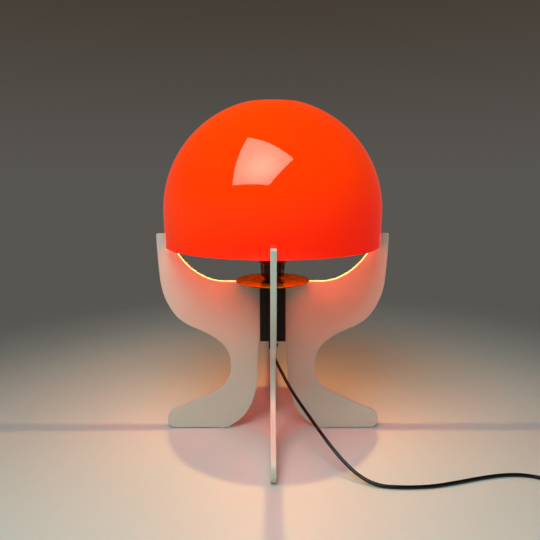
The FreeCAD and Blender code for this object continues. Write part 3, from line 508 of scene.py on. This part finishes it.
dress(plastic("tie_black", (0.02, 0.02, 0.02), (0.04, 0.04, 0.04), 0.5, 0.6, 0.0006), "coil_tie")
dress(plastic("sleeve_black", (0.014, 0.014, 0.014), (0.024, 0.024, 0.024), 0.45, 0.55), "pin_sleeves")
cord_lead.data.materials.append(lead_black.material)
cord_coil.data.materials.append(lead_black.material)


# pieces

ARC_STEPS = 64
DOME_STEPS = 192
BULB_ARC_STEPS = 40
BULB_NECK_STEPS = 12
BULB_STEPS = 96


def piece(name, mesh_maker, body, node, finish):
    """A bmesh piece that stands for one CAD node."""
    shape = bmesh.new()
    mesh_maker(shape)
    data = bpy.data.meshes.new(name)
    for face in shape.faces:
        face.smooth = True
    shape.to_mesh(data)
    shape.free()
    made = bpy.data.objects.new(name, data)
    scene.collection.objects.link(made)
    data.materials.append(finish.material)
    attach(made, body)
    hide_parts(node)
    return made


def spin_round(shape, edges, steps):
    """Turns open or closed outlines once round the Z axis and closes the seam."""
    ends = {vert for edge in edges for vert in edge.verts}
    bmesh.ops.spin(shape, geom=list(edges) + list(ends), cent=(0, 0, 0), axis=(0, 0, 1),
                   angle=2 * math.pi, steps=steps, use_merge=True)
    bmesh.ops.remove_doubles(shape, verts=shape.verts, dist=1e-6)
    bmesh.ops.recalc_face_normals(shape, faces=shape.faces)


def arc_from(shape, start, centre, angle, steps):
    """Spins one vertex round a centre in the XZ plane and gives the last vertex of the arc."""
    made = bmesh.ops.spin(shape, geom=[start], cent=centre, axis=(0, -1, 0), angle=angle, steps=steps)
    return made["geom_last"][0]


def on_ring(vert, place):
    """Whether a vertex lies on the circle that a corner of the outline was spun along."""
    return (abs(vert.co.z - place.z) < SAME_PLACE
            and abs(math.hypot(vert.co.x, vert.co.y) - place.x) < SAME_PLACE)


def dome(shape):
    """Skirt and half ball with a round hole in the crown, its two edges slightly rounded."""
    centre = (0, 0, DOME_CENTRE_Z)
    lift = math.acos(VENT_RADIUS / DOME_RADIUS)
    rim = shape.verts.new((DOME_RIM_RADIUS, 0, DOME_RIM_Z))
    skirt = shape.verts.new((DOME_RADIUS, 0, DOME_CENTRE_Z))
    shape.edges.new((rim, skirt))
    crown = arc_from(shape, skirt, centre, lift, ARC_STEPS)
    inner_radius = DOME_RADIUS - DOME_WALL
    inner_rim = shape.verts.new((DOME_RIM_RADIUS - DOME_WALL, 0, DOME_RIM_Z))
    inner_skirt = shape.verts.new((inner_radius, 0, DOME_CENTRE_Z))
    shape.edges.new((inner_rim, inner_skirt))
    inner_lift = math.acos(VENT_RADIUS / inner_radius)
    inner_crown = arc_from(shape, inner_skirt, centre, inner_lift, ARC_STEPS)
    shape.edges.new((rim, inner_rim))
    shape.edges.new((crown, inner_crown))
    corners = [rim, inner_rim, crown, inner_crown]
    places = [vert.co.copy() for vert in corners]
    spin_round(shape, shape.edges[:], DOME_STEPS)
    rings = [edge for edge in shape.edges
             if any(all(on_ring(vert, place) for vert in edge.verts) for place in places)]
    bmesh.ops.bevel(shape, geom=rings, offset=RIM_ROUND, segments=3, profile=0.5, affect="EDGES",
                    material=-1)


def envelope(shape):
    """Pear-shaped glass, open at its neck."""
    ball = (0, 0, BULB_CENTRE_Z)
    low = BULB_POLAR_LOW
    join = shape.verts.new((BULB_RADIUS * math.cos(low), 0, BULB_CENTRE_Z + BULB_RADIUS * math.sin(low)))
    arc_from(shape, join, ball, math.pi / 2 - low, BULB_ARC_STEPS)
    neck = Vector(BULB_NECK)
    shoulder = Vector(BULB_SHOULDER)
    reach = Vector((math.sin(low), 0, -math.cos(low))) * BULB_FLARE
    before = join
    for k in range(1, BULB_NECK_STEPS + 1):
        share = k / BULB_NECK_STEPS
        place = ((1 - share) ** 3 * join.co + 3 * (1 - share) ** 2 * share * (join.co + reach)
                 + 3 * (1 - share) * share ** 2 * shoulder + share ** 3 * neck)
        after = shape.verts.new(place)
        shape.edges.new((before, after))
        before = after
    spin_round(shape, shape.edges[:], BULB_STEPS)


piece("shade", dome, "shade", "dome_shade", orange_acrylic())
bulb = piece("bulb_envelope", envelope, "bulb", "bulb_glass", frosted_bulb())
wall = bulb.modifiers.new("wall", "SOLIDIFY")
wall.thickness = BULB_WALL
wall.offset = -1
# the bulb's light stands inside the glass, so the glass casts no shadow
bulb.visible_shadow = False


# floor and light

BACKDROP = (0.098, 0.092, 0.083)
BACKDROP_ABOVE = (0.058, 0.045, 0.034)
BACKDROP_OVERHEAD = (0.03, 0.022, 0.016)
BACKDROP_STEPS = ((0.0, BACKDROP), (0.3, BACKDROP_ABOVE), (0.8, BACKDROP_OVERHEAD))
FLOOR_RADIUS = 9.0
FLOOR_ROUGHNESS = 0.45
FLOOR_COLOUR = (0.68, 0.715, 0.735)
FLOOR_FADE_START = 0.45
FLOOR_FADE_END = 1.15
ROOM_LIGHT = 0.10
# height fitted to the disc's shadow in the photograph, some 17 mm above the modelled filament
GLOW_PLACE = (0, 0, 0.374)
GLOW_RADIUS = 0.003
GLOW_ENERGY = 3.0
GLOW_COLOUR = (0.98, 0.62, 0.19)
SOFTBOX = {"size": 0.766, "energy": 11.0, "colour": (0.73, 0.92, 0.87),
           "place": (-0.158, -0.719, 1.033), "facing": (0.379, 0.105, -0.919),
           "across": (0.744, -0.625, 0.236)}
SOFTBOX_MIDDLE = 1.4
SOFTBOX_EDGE = 0.8
SOFTBOX_REACH = 0.6
REAR_FILL = {"size": 2.4, "energy": 9, "colour": (1.0, 0.98, 0.92), "place": (0.7, 2.2, 1.9),
             "facing": (-0.25, -0.76, -0.6), "across": (1, 0, 0)}


def floor():
    """Large pale floor that runs into the backdrop's colour far out."""
    shape = bmesh.new()
    bmesh.ops.create_circle(shape, cap_ends=True, radius=FLOOR_RADIUS, segments=96)
    data = bpy.data.meshes.new("floor")
    shape.to_mesh(data)
    shape.free()
    made = bpy.data.objects.new("floor", data)
    scene.collection.objects.link(made)
    material = bpy.data.materials.new("pale_floor")
    material.use_nodes = True
    nodes = material.node_tree.nodes
    links = material.node_tree.links
    shader = nodes["Principled BSDF"]
    shader.inputs["Base Color"].default_value = (*FLOOR_COLOUR, 1)
    shader.inputs["Roughness"].default_value = FLOOR_ROUGHNESS
    place = nodes.new("ShaderNodeTexCoord")
    far = nodes.new("ShaderNodeVectorMath")
    far.operation = "LENGTH"
    fade = nodes.new("ShaderNodeMapRange")
    fade.interpolation_type = "SMOOTHSTEP"
    fade.inputs["From Min"].default_value = FLOOR_FADE_START
    fade.inputs["From Max"].default_value = FLOOR_FADE_END
    backdrop = nodes.new("ShaderNodeEmission")
    backdrop.inputs["Color"].default_value = (*BACKDROP, 1)
    blend = nodes.new("ShaderNodeMixShader")
    links.new(place.outputs["Object"], far.inputs[0])
    links.new(far.outputs["Value"], fade.inputs["Value"])
    links.new(fade.outputs["Result"], blend.inputs["Fac"])
    links.new(shader.outputs["BSDF"], blend.inputs[1])
    links.new(backdrop.outputs["Emission"], blend.inputs[2])
    links.new(blend.outputs["Shader"], nodes["Material Output"].inputs["Surface"])
    data.materials.append(material)


def world():
    """Plain backdrop, darker upwards, that the camera, gloss and glass see in full, and that lights
    matt surfaces a little."""
    made = bpy.data.worlds.new("soft_room")
    scene.world = made
    made.use_nodes = True
    nodes = made.node_tree.nodes
    links = made.node_tree.links
    room = nodes["Background"]
    parts = nodes.new("ShaderNodeSeparateXYZ")
    shades = nodes.new("ShaderNodeValToRGB")
    steps = shades.color_ramp.elements
    steps.new(BACKDROP_STEPS[1][0])
    for step, (place, colour) in zip(steps, BACKDROP_STEPS):
        step.position = place
        step.color = (*colour, 1)
    links.new(nodes.new("ShaderNodeTexCoord").outputs["Generated"], parts.inputs["Vector"])
    links.new(parts.outputs["Z"], shades.inputs["Fac"])
    links.new(shades.outputs["Color"], room.inputs["Color"])
    rays = nodes.new("ShaderNodeLightPath")
    seen = rays.outputs["Is Camera Ray"]
    for kind in ("Is Glossy Ray", "Is Transmission Ray"):
        either = nodes.new("ShaderNodeMath")
        either.operation = "MAXIMUM"
        links.new(seen, either.inputs[0])
        links.new(rays.outputs[kind], either.inputs[1])
        seen = either.outputs["Value"]
    strength = nodes.new("ShaderNodeMapRange")
    strength.inputs["To Min"].default_value = ROOM_LIGHT
    links.new(seen, strength.inputs["Value"])
    links.new(strength.outputs["Result"], room.inputs["Strength"])


def area_light(name, size, energy, colour, place, facing, across):
    """A square area light that faces one way, with one side along another."""
    data = bpy.data.lights.new(name, "AREA")
    data.shape = "SQUARE"
    data.size = size
    data.energy = energy
    data.color = colour
    made = bpy.data.objects.new(name, data)
    scene.collection.objects.link(made)
    facing = Vector(facing).normalized()
    across = Vector(across)
    across = (across - facing * across.dot(facing)).normalized()
    up = facing.cross(across).normalized()
    turn = Matrix((across, -up, -facing)).transposed()
    made.matrix_world = Matrix.Translation(place) @ turn.to_4x4()
    return made


def soft_middle(data):
    """Makes a square light brighter at its middle than at its edges."""
    data.use_nodes = True
    nodes = data.node_tree.nodes
    links = data.node_tree.links
    spot = nodes.new("ShaderNodeVectorMath")
    spot.operation = "DISTANCE"
    spot.inputs[1].default_value = (0.5, 0.5, 0)
    fall = nodes.new("ShaderNodeMapRange")
    fall.interpolation_type = "SMOOTHSTEP"
    fall.inputs["From Max"].default_value = SOFTBOX_REACH
    fall.inputs["To Min"].default_value = SOFTBOX_MIDDLE
    fall.inputs["To Max"].default_value = SOFTBOX_EDGE
    links.new(nodes.new("ShaderNodeNewGeometry").outputs["Parametric"], spot.inputs[0])
    links.new(spot.outputs["Value"], fall.inputs["Value"])
    links.new(fall.outputs["Result"], nodes["Emission"].inputs["Strength"])


def bulb_light():
    """A small light inside the bulb, which throws the crisp shadows of the disc and the fins."""
    data = bpy.data.lights.new("filament_light", "POINT")
    data.energy = GLOW_ENERGY
    data.color = GLOW_COLOUR
    data.shadow_soft_size = GLOW_RADIUS
    made = bpy.data.objects.new("filament_light", data)
    scene.collection.objects.link(made)
    made.location = GLOW_PLACE


def lights():
    """The large softbox that the shade reflects, a weak fill behind the lamp that nothing reflects,
    and the lit bulb."""
    bulb_light()
    softbox = area_light("softbox", **SOFTBOX)
    softbox.visible_camera = False
    soft_middle(softbox.data)
    fill = area_light("rear_fill", **REAR_FILL)
    fill.visible_glossy = False


floor()
world()
lights()

bpy.context.view_layer.update()
